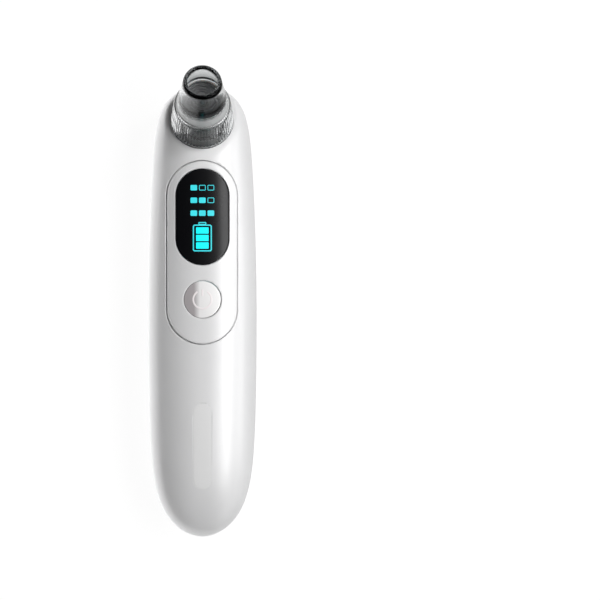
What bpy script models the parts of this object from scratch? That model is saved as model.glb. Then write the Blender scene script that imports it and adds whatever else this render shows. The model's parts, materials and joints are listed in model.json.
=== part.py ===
"""Blackhead vacuum extractor, lying on its flat back.

+Y points to the suction head, +Z out of the display and +X to the display's right. The casing is two
shells of one body shape, given by formulas of the distance v from the charging end. The suction head and all
that it plugs onto are turned about one tilted axis, and hang on the empty head_frame.
"""

import math

import bmesh
import bpy
from mathutils import Matrix, Vector

MM = 0.001

# Body shape. v runs from the charging end (0) to the head end (BODY_LENGTH).
BODY_LENGTH = 157.0 * MM
BODY_HALF_WIDTH = 19.0 * MM
WIDEST_V = 76.0 * MM
SEAM_Z = 15.0 * MM
FRONT_HEIGHT = 14.5 * MM
BACK_HEIGHT = 15.6 * MM
FRONT_ROUNDNESS = 2.4
BACK_ROUNDNESS = 2.6
WALL = 2.2 * MM
SEAM_GAP = 0.15 * MM

# Suction head axis, through the centre of the round seat cut on the body's end.
HEAD_TILT = math.radians(25.0)
SEAT_V = 144.6 * MM
SEAT_Z = 24.3 * MM
HEAD_LENGTH = 29.6 * MM
TIP_RADIUS = 6.6 * MM
HEAD_RIBS = 36
RIB_DEPTH = 0.2 * MM
SKIRT_RADIUS, SKIRT_TAPER, SKIRT_TOP = 10.88 * MM, 0.089, 13.0 * MM

# The origin is below the middle of the overall length.
TIP_BEVEL = 0.4 * MM
OVERALL_LENGTH = SEAT_V + (HEAD_LENGTH - TIP_BEVEL) * math.sin(HEAD_TILT) + TIP_RADIUS * math.cos(HEAD_TILT)
ORIGIN_V = OVERALL_LENGTH / 2

# Control panel, display window, button and blank badge on the front.
PANEL_V, PANEL_WIDTH, PANEL_LENGTH = 99.1 * MM, 24.4 * MM, 63.4 * MM
LENS_V, LENS_WIDTH, LENS_LENGTH = 111.4 * MM, 18.4 * MM, 33.2 * MM
BADGE_V, BADGE_WIDTH, BADGE_LENGTH = 31.9 * MM, 6.4 * MM, 30.0 * MM
BUTTON_V, BUTTON_RADIUS = 82.8 * MM, 6.4 * MM
PANEL_THICKNESS, PANEL_RAISE = 1.0 * MM, 0.25 * MM
PANEL_GAP = 0.35 * MM
LENS_GAP = 0.2 * MM
BADGE_THICKNESS = 0.6 * MM
PLATE_SIDE_STEP, SLOT_ARC_STEPS = 4.0 * MM, 9

# Round hole in the seat for the spigot, and the spigot's O-ring.
SEAT_HOLE_RADIUS = 8.9 * MM
O_RING_RADIUS, O_RING_THICKNESS, O_RING_HEIGHT = 8.72 * MM, 1.16 * MM, 4.6 * MM

# Casing screws run from wells in the back into bosses of the front shell. Places are (x, v), for both sides.
CASE_SCREWS = [(8.6 * MM, 17.5 * MM), (11.6 * MM, 129.5 * MM)]
REAR_BOSS_RADIUS, FRONT_BOSS_RADIUS = 3.2 * MM, 2.5 * MM
BOSS_SPLIT_Z = (14.7 * MM, 15.4 * MM)
WELL_RADIUS, WELL_TOP_Z = 2.2 * MM, 8.0 * MM
BORE_RADIUS, PILOT_RADIUS, PILOT_TOP_Z = 1.2 * MM, 1.1 * MM, 21.0 * MM

# Vent slots in the back, under the pump.
VENT_COUNT, VENT_V, VENT_PITCH = 3, 138.0 * MM, 2.8 * MM
VENT_HALF_WIDTH, VENT_LENGTH = 4.5 * MM, 1.3 * MM

# Boards, switch and display module.
PCB_TOP_Z = 20.8 * MM
PCB_THICKNESS = 1.2 * MM
PCB_HALF_WIDTH = 8.9 * MM
PCB_V = (67.0 * MM, 129.0 * MM)
PCB_SCREW = (6.4 * MM, 72.5 * MM)
PCB_POST_RADIUS, PCB_PILOT_RADIUS, PCB_HOLE_RADIUS = 1.9 * MM, 0.9 * MM, 1.1 * MM
SWITCH_HALF_WIDTH, SWITCH_TOP_Z = 3.0 * MM, 24.1 * MM
PLUNGER_RADIUS, PLUNGER_Z = 1.7 * MM, (23.2 * MM, 25.0 * MM)
PLUNGER_CLEARANCE = 0.2 * MM
DISPLAY_HALF_WIDTH, DISPLAY_V, DISPLAY_TOP_Z = 8.6 * MM, (95.6 * MM, 127.6 * MM), 25.5 * MM

# Drive line of motor and pump, battery and charging port.
DRIVE_V, DRIVE_Z = 76.4 * MM, 11.3 * MM
MOTOR_RADIUS, MOTOR_HALF_HEIGHT, MOTOR_WALL = 10.0 * MM, 7.5 * MM, 0.8 * MM
BATTERY_Z, BATTERY_RADIUS = 11.0 * MM, 7.0 * MM
BATTERY_V = (22.0 * MM, 71.0 * MM)
PORT_Z, PORT_WIDTH, PORT_HEIGHT = 11.0 * MM, 8.94 * MM, 3.26 * MM
PORT_V, PORT_WALL, PORT_GAP = (3.2 * MM, 10.4 * MM), 0.3 * MM, 0.35 * MM
TOUCH_GAP = 0.15 * MM

WHITE = (0.86, 0.86, 0.86)
CLEAR = (0.80, 0.82, 0.84)
BLACK = (0.01, 0.01, 0.012)
SOCKET_GREY = (0.16, 0.16, 0.165)
GREY = (0.12, 0.12, 0.13)
FILTER_GREY = (0.13, 0.13, 0.135)
SILICONE = (0.80, 0.80, 0.78)
BOARD = (0.02, 0.16, 0.07)
STEEL = (0.55, 0.55, 0.57)
BATTERY_WRAP = (0.05, 0.22, 0.45)
RUBBER = (0.03, 0.03, 0.03)
SPONGE = (0.72, 0.72, 0.68)
BRASS = (0.70, 0.52, 0.22)
RED = (0.55, 0.03, 0.02)


# ---------------------------------------------------------------- scene, materials and mesh helpers

def clear_scene():
    for obj in list(bpy.data.objects):
        bpy.data.objects.remove(obj)


def material(name, colour, roughness, metallic=0.0):
    found = bpy.data.materials.get(name)
    if found:
        return found
    made = bpy.data.materials.new(name)
    made.use_nodes = True
    shader = made.node_tree.nodes["Principled BSDF"]
    shader.inputs["Base Color"].default_value = (*colour, 1.0)
    shader.inputs["Roughness"].default_value = roughness
    shader.inputs["Metallic"].default_value = metallic
    made.diffuse_color = (*colour, 1.0)
    return made


def mesh_object(name, points, faces, finish=None, parent=None):
    """A closed mesh whose faces point out, shaded smooth up to 40 degrees."""
    bm = bmesh.new()
    verts = [bm.verts.new(point) for point in points]
    for face in faces:
        bm.faces.new([verts[index] for index in face])
    bmesh.ops.recalc_face_normals(bm, faces=bm.faces)
    mesh = bpy.data.meshes.new(name)
    bm.to_mesh(mesh)
    bm.free()
    mesh.shade_smooth()
    mesh.set_sharp_from_angle(angle=math.radians(40))
    obj = bpy.data.objects.new(name, mesh)
    bpy.context.scene.collection.objects.link(obj)
    if finish:
        mesh.materials.append(finish)
    obj.parent = parent
    return obj


def boolean(target, tool, operation):
    modifier = target.modifiers.new(tool.name, "BOOLEAN")
    modifier.operation = operation
    modifier.solver = "EXACT"
    modifier.object = tool
    tool.hide_render = True
    tool.display_type = "WIRE"
    return target


def cut(target, *tools):
    for tool in tools:
        boolean(target, tool, "DIFFERENCE")
    return target


def join(target, *tools):
    for tool in tools:
        boolean(target, tool, "UNION")
    return target


def cap_faces(start, size, fold):
    """Faces that close a ring of points: a single face, or strips between the points i and fold - i."""
    if fold is None:
        return [tuple(range(start, start + size))]
    pairs = []
    for step in range(size // 2):
        left = (fold // 2 + 1 + step) % size
        right = (fold - left) % size
        pairs.append((start + left, start + right))
    return [(after[1], before[1], before[0], after[0]) for before, after in zip(pairs, pairs[1:])]


def loft(name, rings, finish=None, parent=None, closed_loop=False, fold=None):
    """Joins rings of equal length into a closed solid, capped at both ends unless the rings form a loop."""
    size = len(rings[0])
    points = [point for ring in rings for point in ring]
    faces = []
    last = len(rings) if closed_loop else len(rings) - 1
    for i in range(last):
        low = i * size
        high = (i + 1) % len(rings) * size
        for j in range(size):
            k = (j + 1) % size
            faces.append((low + j, low + k, high + k, high + j))
    if not closed_loop:
        faces += [tuple(reversed(face)) for face in cap_faces(0, size, fold)]
        faces += cap_faces((len(rings) - 1) * size, size, fold)
    return mesh_object(name, points, faces, finish, parent)


def turned(name, profile, finish=None, parent=None, segments=32, axis="Z", centre=(0, 0, 0), rib=None):
    """A solid turned about an axis through centre.

    profile holds (radius, height) points. One that starts and ends at radius 0 is a solid, any other is a
    closed ring. rib(radius, height, index) may reshape a radius.
    """
    points, rows = [], []
    for radius, height in profile:
        row = []
        for index in range(1 if radius == 0 else segments):
            angle = 2 * math.pi * index / segments
            r = rib(radius, height, index) if rib else radius
            flat = (r * math.cos(angle), r * math.sin(angle))
            local = (*flat, height) if axis == "Z" else (flat[0], height, flat[1])
            row.append(len(points))
            points.append(Vector(centre) + Vector(local))
        rows.append(row)
    is_ring = profile[0][0] > 0
    pairs = list(zip(rows, rows[1:])) + ([(rows[-1], rows[0])] if is_ring else [])
    faces = []
    for low, high in pairs:
        for index in range(segments):
            after = (index + 1) % segments
            low_pair = [low[index % len(low)], low[after % len(low)]]
            high_pair = [high[after % len(high)], high[index % len(high)]]
            face = list(dict.fromkeys(low_pair + high_pair))
            if len(face) > 2:
                faces.append(face)
    return mesh_object(name, points, faces, finish, parent)


def mm_profile(points):
    return [(radius * MM, height * MM) for radius, height in points]


def rod(name, radius, ends, finish=None, parent=None, segments=24, axis="Z", centre=(0, 0, 0)):
    profile = [(0, ends[0]), (radius, ends[0]), (radius, ends[1]), (0, ends[1])]
    return turned(name, profile, finish, parent, segments, axis, centre)


def place_y(v):
    return v - ORIGIN_V


def box(name, x, v, z, finish=None, parent=None):
    """A box between two limits along each axis. v is measured from the charging end, or from the parent."""
    if parent is None:
        v = (place_y(v[0]), place_y(v[1]))
    corners = [(x[i], v[j], z[k]) for k in (0, 1) for i, j in ((0, 0), (1, 0), (1, 1), (0, 1))]
    return loft(name, [corners[:4], corners[4:]], finish, parent)


def stadium(width, length, arc_steps, side_steps=1):
    """A slot outline about the origin, its long side along the second axis, run anticlockwise."""
    radius = width / 2
    straight = length / 2 - radius
    outline = []
    for end, start in ((1, 0.0), (-1, math.pi)):
        for step in range(arc_steps + 1):
            angle = start + math.pi * step / arc_steps
            outline.append((radius * math.cos(angle), end * straight + radius * math.sin(angle)))
        for step in range(1, side_steps):
            outline.append((-end * radius, end * straight * (1 - 2 * step / side_steps)))
    return outline


def flat_round(radius, half_height, arc_steps=10):
    """A circle with two flats, the outline of a flat-sided motor can, in x and z."""
    limit = math.asin(half_height / radius)
    outline = []
    for start in (-limit, math.pi - limit):
        for step in range(arc_steps + 1):
            angle = start + 2 * limit * step / arc_steps
            outline.append((radius * math.cos(angle), radius * math.sin(angle)))
    return outline


def port_outline(grow, arc_steps):
    """The charging port's outline in x and z, its sides moved out by grow."""
    upright = stadium(PORT_HEIGHT + 2 * grow, PORT_WIDTH + 2 * grow, arc_steps)
    return [(y, x) for x, y in reversed(upright)]


def along_y(name, outline, v, z, finish=None):
    """Extrudes an outline in x and z between two places along the body."""
    rings = [[(x, place_y(end), z + h) for x, h in outline] for end in v]
    return loft(name, rings, finish)


# ---------------------------------------------------------------- body shape

def end_shape(v, length_low, length_high, low, high):
    """1 at the widest place, falling to 0 at both ends. low and high are (taper, squareness, bluntness)."""
    if v < WIDEST_V:
        share = (WIDEST_V - v) / length_low
        taper, squareness, bluntness = low
    else:
        share = (v - WIDEST_V) / length_high
        taper, squareness, bluntness = high
    share = min(1.0, share)
    return (1 - taper * share**2) * (1 - share**squareness) ** (1 / bluntness)


def body_sizes(v, inset=0.0):
    """Half width, front height and back height at v, for the outer surface or one set in by a wall."""
    low = WIDEST_V - inset
    high = BODY_LENGTH - inset - WIDEST_V
    width = (BODY_HALF_WIDTH - inset) * end_shape(v, low, high, (0.11, 7.5, 1.8), (0.18, 13.0, 2.2))
    front = (FRONT_HEIGHT - inset) * end_shape(v, low, high, (0.10, 4.5, 2.0), (0.0, 10.0, 2.0))
    back = (BACK_HEIGHT - inset) * end_shape(v, low, high, (0.0, 6.0, 2.0), (0.0, 5.0, 2.0))
    return width, front, back


def front_z(x, v):
    """Height of the front surface over x and v."""
    width, front, _ = body_sizes(v)
    share = min(1.0, abs(x) / width)
    return SEAM_Z + front * (1 - share**FRONT_ROUNDNESS) ** (1 / FRONT_ROUNDNESS)


def body_ring(v, inset, around):
    """Points round the body at v. The back is cut off flat at the height of the surface it lies on."""
    width, front, back = body_sizes(v, inset)
    ring = []
    for index in range(around):
        angle = 2 * math.pi * index / around
        roundness = FRONT_ROUNDNESS if angle < math.pi else BACK_ROUNDNESS
        height = front if angle < math.pi else back
        across = abs(math.cos(angle)) ** (2 / roundness)
        up = abs(math.sin(angle)) ** (2 / roundness)
        x = math.copysign(width * across, math.cos(angle))
        z = SEAM_Z + math.copysign(height * up, math.sin(angle))
        ring.append((x, place_y(v), max(inset, z)))
    return ring


def body_solid(name, inset, around, stations, finish=None):
    """The whole body as one closed solid, its rings closer together towards both ends."""
    start, end = inset, BODY_LENGTH - inset
    rings = []
    for station in range(1, stations):
        share = (1 - math.cos(math.pi * station / stations)) / 2
        rings.append(body_ring(start + (end - start) * share, inset, around))
    points = [(0, place_y(start), SEAM_Z)]
    for ring in rings:
        points.extend(ring)
    points.append((0, place_y(end), SEAM_Z))
    faces = []
    last = len(points) - 1
    for j in range(around):
        k = (j + 1) % around
        faces.append((0, 1 + k, 1 + j))
        for i in range(len(rings) - 1):
            low, high = 1 + i * around, 1 + (i + 1) * around
            faces.append((low + j, low + k, high + k, high + j))
        faces.append((last - around + j, last - around + k, last))
    return mesh_object(name, points, faces, finish)


def front_plate(name, width, length, centre_v, depth, thickness, finish=None):
    """A stadium plate that follows the front surface, with its top depth below it (above it, if negative)."""
    side_steps = max(1, round((length - width) / PLATE_SIDE_STEP))
    rings = []
    for level, shares in ((depth + thickness, (0.88, 0.45, 0.0)), (depth, (0.0, 0.45, 0.88))):
        for share in shares:
            trim = share * width
            outline = stadium(width - trim, length - trim, SLOT_ARC_STEPS, side_steps)
            rings.append([(x, place_y(centre_v + y), front_z(x, centre_v + y) - level) for x, y in outline])
    return loft(name, rings, finish, fold=SLOT_ARC_STEPS)


# ---------------------------------------------------------------- casing

def seat_cutter(name, height):
    """Everything above a plane square to the head axis, over the head end of the body."""
    reach = 40 * MM
    return box(name, (-reach, reach), (-reach, reach), (height, height + reach), parent=head_frame)


def hollow_half(name, keep_front, finish):
    """One casing shell: the body with its inside, its seat and the other half cut away."""
    shell = body_solid(name, 0.0, 32, 20, finish)
    inside = body_solid(name + "_inside", WALL, 20, 12)
    cut(inside, seat_cutter(name + "_inside_seat", -WALL))
    reach = 60 * MM
    if keep_front:
        other = (SEAM_Z - reach, SEAM_Z + SEAM_GAP)
    else:
        other = (SEAM_Z - SEAM_GAP, SEAM_Z + reach)
    other_half = box(name + "_other_half", (-reach, reach), (-reach, BODY_LENGTH + reach), other)
    return cut(shell, seat_cutter(name + "_seat", 0.0), inside, other_half)


def case_screw_places():
    return [(side * x, v) for x, v in CASE_SCREWS for side in (-1, 1)]


def boss(name, radius, heights, x, v):
    """A screw boss, trimmed to the middle of the wall so that it joins the wall but doesn't show."""
    post = rod(name, radius, heights, segments=16, centre=(x, place_y(v), 0))
    boolean(post, boss_limit, "INTERSECT")
    return post


def build_front_shell():
    shell = hollow_half("front_shell", True, white_gloss)
    for index, (x, v) in enumerate(case_screw_places()):
        centre = (x, place_y(v), 0)
        join(shell, boss(f"front_boss_{index}", FRONT_BOSS_RADIUS, (BOSS_SPLIT_Z[1], 32 * MM), x, v))
        pilot_z = (14 * MM, PILOT_TOP_Z)
        cut(shell, rod(f"front_pilot_{index}", PILOT_RADIUS, pilot_z, segments=12, centre=centre))
    for side in (-1, 1):
        x, v = side * PCB_SCREW[0], PCB_SCREW[1]
        centre = (x, place_y(v), 0)
        post_start = PCB_TOP_Z + 2 * TOUCH_GAP
        join(shell, boss(f"pcb_post_{side}", PCB_POST_RADIUS, (post_start, 32 * MM), x, v))
        cut(shell, rod(f"pcb_pilot_{side}", PCB_PILOT_RADIUS, (20 * MM, 25 * MM), segments=12, centre=centre))
    recess_depth = PANEL_THICKNESS + 2 * TOUCH_GAP
    panel_recess = front_plate(
        "panel_recess", PANEL_WIDTH + 2 * PANEL_GAP, PANEL_LENGTH + 2 * PANEL_GAP, PANEL_V,
        -3 * MM, 3 * MM + recess_depth)
    badge_recess = front_plate(
        "badge_recess", BADGE_WIDTH + 2 * LENS_GAP, BADGE_LENGTH + 2 * LENS_GAP, BADGE_V,
        -3 * MM, 3 * MM + BADGE_THICKNESS + TOUCH_GAP)
    window = front_plate(
        "shell_window", LENS_WIDTH - 2 * MM, LENS_LENGTH - 2 * MM, LENS_V, -3 * MM, 8 * MM)
    button_hole = rod(
        "shell_button_hole", BUTTON_RADIUS + 0.35 * MM, (22 * MM, 40 * MM), segments=32,
        centre=(0, place_y(BUTTON_V), 0))
    socket_hole = rod("seat_hole", SEAT_HOLE_RADIUS, (-8 * MM, 8 * MM), parent=head_frame, segments=40)
    return cut(shell, panel_recess, badge_recess, window, button_hole, socket_hole)


def build_rear_shell():
    shell = hollow_half("rear_shell", False, white_gloss)
    for index, (x, v) in enumerate(case_screw_places()):
        centre = (x, place_y(v), 0)
        join(shell, boss(f"rear_boss_{index}", REAR_BOSS_RADIUS, (0.5 * MM, BOSS_SPLIT_Z[0]), x, v))
        cut(shell, rod(f"rear_bore_{index}", BORE_RADIUS, (0, 20 * MM), segments=12, centre=centre))
        cut(shell, rod(f"rear_well_{index}", WELL_RADIUS, (-2 * MM, WELL_TOP_Z), segments=16, centre=centre))
    cut(shell, along_y("port_slot", port_outline(PORT_GAP, 8), (-4 * MM, 6.5 * MM), PORT_Z))
    for index in range(VENT_COUNT):
        start = VENT_V + index * VENT_PITCH
        across = (-VENT_HALF_WIDTH, VENT_HALF_WIDTH)
        cut(shell, box(f"vent_cut_{index}", across, (start, start + VENT_LENGTH), (-5 * MM, 8 * MM)))
    return shell


def build_front_trim():
    panel = front_plate(
        "control_panel", PANEL_WIDTH, PANEL_LENGTH, PANEL_V, -PANEL_RAISE, PANEL_THICKNESS + PANEL_RAISE,
        white_gloss)
    window = front_plate(
        "panel_window", LENS_WIDTH + 2 * LENS_GAP, LENS_LENGTH + 2 * LENS_GAP, LENS_V, -2 * MM, 5 * MM)
    hole = rod(
        "panel_button_hole", BUTTON_RADIUS + 0.3 * MM, (20 * MM, 40 * MM), segments=32,
        centre=(0, place_y(BUTTON_V), 0))
    cut(panel, window, hole)
    front_plate("display_lens", LENS_WIDTH, LENS_LENGTH, LENS_V, 0.0, PANEL_THICKNESS, black_gloss)
    front_plate("badge_inlay", BADGE_WIDTH, BADGE_LENGTH, BADGE_V, 0.0, BADGE_THICKNESS, pale_badge)


def build_case_screws():
    for index, (x, v) in enumerate(case_screw_places()):
        profile = mm_profile([(0, 6.3), (1.9, 6.3), (1.9, 7.8), (1.0, 7.8), (1.0, 19.6), (0, 20.6)])
        turned(f"case_screw_{index + 1}", profile, steel, segments=16, centre=(x, place_y(v), 0))


# ---------------------------------------------------------------- suction head and what it plugs onto

def skirt_rib(radius, height, index):
    """Fine upright ribs on the outside of the skirt: every other point of a ring stands out."""
    is_outside = radius > SKIRT_RADIUS - SKIRT_TAPER * height - RIB_DEPTH
    on_rib = is_outside and height < SKIRT_TOP and index % 2
    return radius + (RIB_DEPTH if on_rib else 0.0)


def build_suction_head():
    bevel, top, tip = TIP_BEVEL / MM, HEAD_LENGTH / MM, TIP_RADIUS / MM
    outside = [(10.85, 0.3), (9.75, 12.7), (9.35, 13.2), (8.95, 13.6)]
    mouth = [(tip, top - bevel), (tip - bevel, top), (tip - 1.4, top)]
    inside = [(7.15, 18.0), (7.75, 13.6), (8.9, 12.6), (9.9, 0.3)]
    turned(
        "suction_head", mm_profile(outside + mouth + inside), clear_plastic, head_frame,
        segments=2 * HEAD_RIBS, rib=skirt_rib)


def build_head_socket():
    hose_stub = [(0.9, -8.2), (1.3, -8.2), (1.3, -4.9), (3.0, -4.2)]
    flange = [(10.3, -4.2), (10.3, -3.0), (8.6, -3.0)]
    spigot = [(8.6, 3.9), (8.0, 3.9), (8.0, 5.3), (8.6, 5.3), (8.6, 10.0), (8.2, 10.4), (6.45, 10.4)]
    filter_socket = [(6.45, 16.8), (5.7, 16.8), (5.7, 13.0), (0.9, 13.0)]
    base = mm_profile(hose_stub + flange + spigot + filter_socket)
    turned("nozzle_base", base, socket_plastic, head_frame, segments=24)
    gasket = mm_profile([(8.95, -2.9), (10.2, -2.9), (10.2, -2.35), (8.95, -2.35)])
    turned("base_gasket", gasket, black_rubber, head_frame, segments=24)
    section = [(math.cos(step * math.pi / 3), math.sin(step * math.pi / 3)) for step in range(6)]
    half = O_RING_THICKNESS / 2
    o_ring = [(O_RING_RADIUS + half * across, O_RING_HEIGHT + half * up) for across, up in section]
    turned("head_o_ring", o_ring, black_rubber, head_frame, segments=24)
    seal = mm_profile([(6.6, 16.0), (7.1, 16.0), (7.05, 17.4), (6.9, 17.8), (6.6, 17.8)])
    turned("seal_ring", seal, white_silicone, head_frame, segments=24)


def build_filter():
    underside = [(1.0, 17.0), (4.7, 17.0), (4.7, 15.9), (5.5, 15.9), (5.5, 17.0), (6.4, 17.0), (6.4, 17.7)]
    rings = [(6.1, 18.0)]
    for outer in (5.2, 3.5):
        rings += [(outer, 18.0), (outer - 0.1, 17.7), (outer - 0.8, 17.7), (outer - 0.9, 18.0)]
    cap = mm_profile(underside + rings + [(1.0, 18.0)])
    turned("filter_cap", cap, filter_plastic, head_frame, segments=24)
    rod("filter_sponge", 5.4 * MM, (13.2 * MM, 15.7 * MM), sponge, head_frame, segments=28)


# ---------------------------------------------------------------- button, display and boards

def build_button():
    stem = [(0, 25.15), (1.5, 25.15), (1.5, 27.9), (5.2, 27.9), (5.2, 25.4)]
    rim = [(7.6, 25.4), (7.6, 26.1), (6.4, 26.1), (6.4, 29.2)]
    dome = [(6.2, 29.42), (3.6, 29.67), (0, 29.8)]
    centre = (0, place_y(BUTTON_V), 0)
    turned("power_button", mm_profile(stem + rim + dome), pearl, segments=28, centre=centre)


def build_switch():
    across = (-SWITCH_HALF_WIDTH, SWITCH_HALF_WIDTH)
    along = (BUTTON_V - SWITCH_HALF_WIDTH, BUTTON_V + SWITCH_HALF_WIDTH)
    body = box("tact_switch", across, along, (PCB_TOP_Z + TOUCH_GAP, SWITCH_TOP_Z), black_plastic)
    centre = (0, place_y(BUTTON_V), 0)
    bore_radius = PLUNGER_RADIUS + PLUNGER_CLEARANCE
    cut(body, rod("plunger_bore", bore_radius, (22.5 * MM, 26 * MM), segments=20, centre=centre))
    rod("switch_plunger", PLUNGER_RADIUS, PLUNGER_Z, white_plastic, segments=20, centre=centre)


def build_main_board():
    across = (-PCB_HALF_WIDTH, PCB_HALF_WIDTH)
    board = box("main_pcb", across, PCB_V, (PCB_TOP_Z - PCB_THICKNESS, PCB_TOP_Z), board_green)
    for side in (-1, 1):
        x, v = side * PCB_SCREW[0], PCB_SCREW[1]
        centre = (x, place_y(v), 0)
        cut(board, rod(f"pcb_hole_{side}", PCB_HOLE_RADIUS, (18 * MM, 23 * MM), segments=12, centre=centre))
        profile = [(0, 18.3), (1.7, 18.3), (1.7, 19.4), (0.8, 19.4), (0.8, 24.2), (0, 24.7)]
        turned(f"pcb_screw_{1 if side < 0 else 2}", mm_profile(profile), steel, segments=16, centre=centre)
    base = PCB_TOP_Z + TOUCH_GAP
    across = (-DISPLAY_HALF_WIDTH, DISPLAY_HALF_WIDTH)
    box("display_module", across, DISPLAY_V, (base, DISPLAY_TOP_Z), display_grey)
    chip_top = base + 0.9 * MM
    box("control_chip", (1.5 * MM, 6.5 * MM), (88.4 * MM, 93.4 * MM), (base, chip_top), black_plastic)


def build_charging_port():
    port = along_y("usb_port", port_outline(0.0, 6), PORT_V, PORT_Z, steel)
    inside_end = PORT_V[1] - 1.0 * MM
    cut(port, along_y("usb_socket", port_outline(-PORT_WALL, 6), (2 * MM, inside_end), PORT_Z))
    tongue_z = (PORT_Z - 0.35 * MM, PORT_Z + 0.35 * MM)
    box("usb_tongue", (-3.3 * MM, 3.3 * MM), (4.0 * MM, 9.2 * MM), tongue_z, black_plastic)
    base = PORT_Z + PORT_HEIGHT / 2 + TOUCH_GAP
    box("charge_pcb", (-5.2 * MM, 5.2 * MM), (5.2 * MM, 19 * MM), (base, base + 1.0 * MM), board_green)


# ---------------------------------------------------------------- pump, battery and wiring

def drive_stretch(start, end):
    """Two places along the drive, which are measured in millimetres from the motor's rear face."""
    return DRIVE_V + start * MM, DRIVE_V + end * MM


def drive_turned(name, profile, finish, segments=20):
    centre = (0, place_y(DRIVE_V), DRIVE_Z)
    return turned(name, mm_profile(profile), finish, segments=segments, axis="Y", centre=centre)


def drive_rod(name, radius, start, end, finish=None, segments=12, offset=(0.0, 0.0)):
    centre = (offset[0], place_y(DRIVE_V), DRIVE_Z + offset[1])
    return rod(name, radius, (start * MM, end * MM), finish, segments=segments, axis="Y", centre=centre)


def build_motor():
    """A flat-sided motor can, open at its rear for the end cap, with the turning rotor inside."""
    outline = flat_round(MOTOR_RADIUS, MOTOR_HALF_HEIGHT, 8)
    inside = flat_round(MOTOR_RADIUS - MOTOR_WALL, MOTOR_HALF_HEIGHT - MOTOR_WALL, 8)
    can = along_y("motor_can", outline, drive_stretch(2.6, 22.6), DRIVE_Z, steel)
    cut(can, along_y("motor_can_inside", inside, drive_stretch(1.6, 21.6), DRIVE_Z))
    cut(can, drive_rod("bush_hole", 2.0 * MM, 20, 25, segments=20))
    cap = along_y("motor_end_cap", outline, drive_stretch(0, 2.45), DRIVE_Z, white_plastic)
    cut(cap, drive_rod("cap_hole", 1.08 * MM, -1, 4, segments=20))
    drive_turned("motor_bush", [(1.06, 21), (1.85, 21), (1.85, 22.8), (1.06, 22.8)], brass)
    shaft_end = [(0, 0.4), (1.0, 0.4), (1.0, 3.0)]
    commutator = [(2.4, 3.0), (2.4, 5.6), (1.6, 5.6), (1.6, 6.4)]
    armature = [(5.9, 6.4), (5.9, 18.2), (1.0, 18.2), (1.0, 26.9), (0, 26.9)]
    drive_turned("motor_rotor", shaft_end + commutator + armature, steel)
    saddle = box(
        "pump_saddle", (-9 * MM, 9 * MM), drive_stretch(9.6, 15.6), (3.2 * MM, 7 * MM), black_rubber)
    seat = flat_round(MOTOR_RADIUS + 0.2 * MM, MOTOR_HALF_HEIGHT + 0.2 * MM, 8)
    cut(saddle, along_y("saddle_seat", seat, drive_stretch(8, 17), DRIVE_Z))


def build_pump():
    """The pump head on the motor's nose, from the crank case to the cover with its inlet."""
    case_outside = [(2.6, 22.95), (8.0, 22.95), (8.0, 31.1)]
    drive_turned("pump_crank_case", case_outside + [(6.8, 31.1), (6.8, 23.6), (2.6, 23.6)], black_plastic)
    crank = drive_turned("pump_crank", [(1.08, 24), (4.0, 24), (4.0, 27.6), (1.08, 27.6)], white_plastic)
    join(crank, drive_rod("crank_pin", 0.7 * MM, 27, 29, offset=(0, 2.2 * MM)))
    drive_rod("wobble_plate", 5.6 * MM, 29.4, 30.5, white_plastic, segments=20)
    convolution = [(3.0, 31.3), (3.6, 30.8), (5.6, 30.8), (6.0, 31.3), (8.0, 31.3)]
    far_side = [(radius, height + 0.9) for radius, height in reversed(convolution)]
    drive_turned("pump_diaphragm", [(0, 31.3)] + convolution + far_side + [(0, 32.2)], black_rubber)
    plate = drive_rod("pump_valve_plate", 8.0 * MM, 32.35, 34.8, white_plastic, segments=20)
    for index in range(3):
        angle = 2 * math.pi * index / 3
        offset = (4.4 * MM * math.cos(angle), 4.4 * MM * math.sin(angle))
        cut(plate, drive_rod(f"valve_hole_{index}", 0.9 * MM, 30, 37, segments=8, offset=offset))
    cover_outside = [(8.0, 34.95), (8.0, 39.8), (7.2, 40.6), (1.3, 40.6), (1.3, 46.1)]
    cover_inside = [(0.7, 46.1), (0.7, 39.2), (6.6, 39.2), (6.6, 34.95)]
    cover = drive_turned("pump_cover", cover_outside + cover_inside, black_plastic)
    outlet = (0, place_y(DRIVE_V + 37.2 * MM), 0)
    cut(cover, rod("outlet_hole", 0.8 * MM, (0.5 * MM, 6 * MM), segments=8, centre=outlet))


def build_battery():
    axis = (0, -ORIGIN_V, BATTERY_Z)
    start, end = BATTERY_V[0] / MM, BATTERY_V[1] / MM
    radius = BATTERY_RADIUS / MM
    can = [(0, start), (radius - 0.5, start), (radius, start + 0.5), (radius, end - 1.3)]
    cap = [(radius - 0.5, end - 0.8), (2.6, end - 0.8), (2.6, end), (0, end)]
    turned("battery_cell", mm_profile(can + cap), battery_wrap, segments=28, axis="Y", centre=axis)
    cradle = box(
        "battery_cradle", (-7.4 * MM, 7.4 * MM), (36 * MM, 58 * MM), (2.9 * MM, 8 * MM), white_plastic)
    seat_radius = BATTERY_RADIUS + TOUCH_GAP
    cut(cradle, rod("cradle_seat", seat_radius, (30 * MM, 64 * MM), segments=28, axis="Y", centre=axis))


def smooth_route(points, steps):
    """A curve through the given points, which are (x, v, z) in millimetres, in steps per stretch."""
    route = [Vector((x * MM, place_y(v * MM), z * MM)) for x, v, z in points]
    padded = [2 * route[0] - route[1]] + route + [2 * route[-1] - route[-2]]
    curve = []
    for a, b, c, d in zip(padded, padded[1:], padded[2:], padded[3:]):
        for step in range(steps):
            t = step / steps
            bend = (2 * a - 5 * b + 4 * c - d) * t**2 + (3 * b - a - 3 * c + d) * t**3
            curve.append(0.5 * (2 * b + (c - a) * t + bend))
    return curve + [route[-1]]


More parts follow.
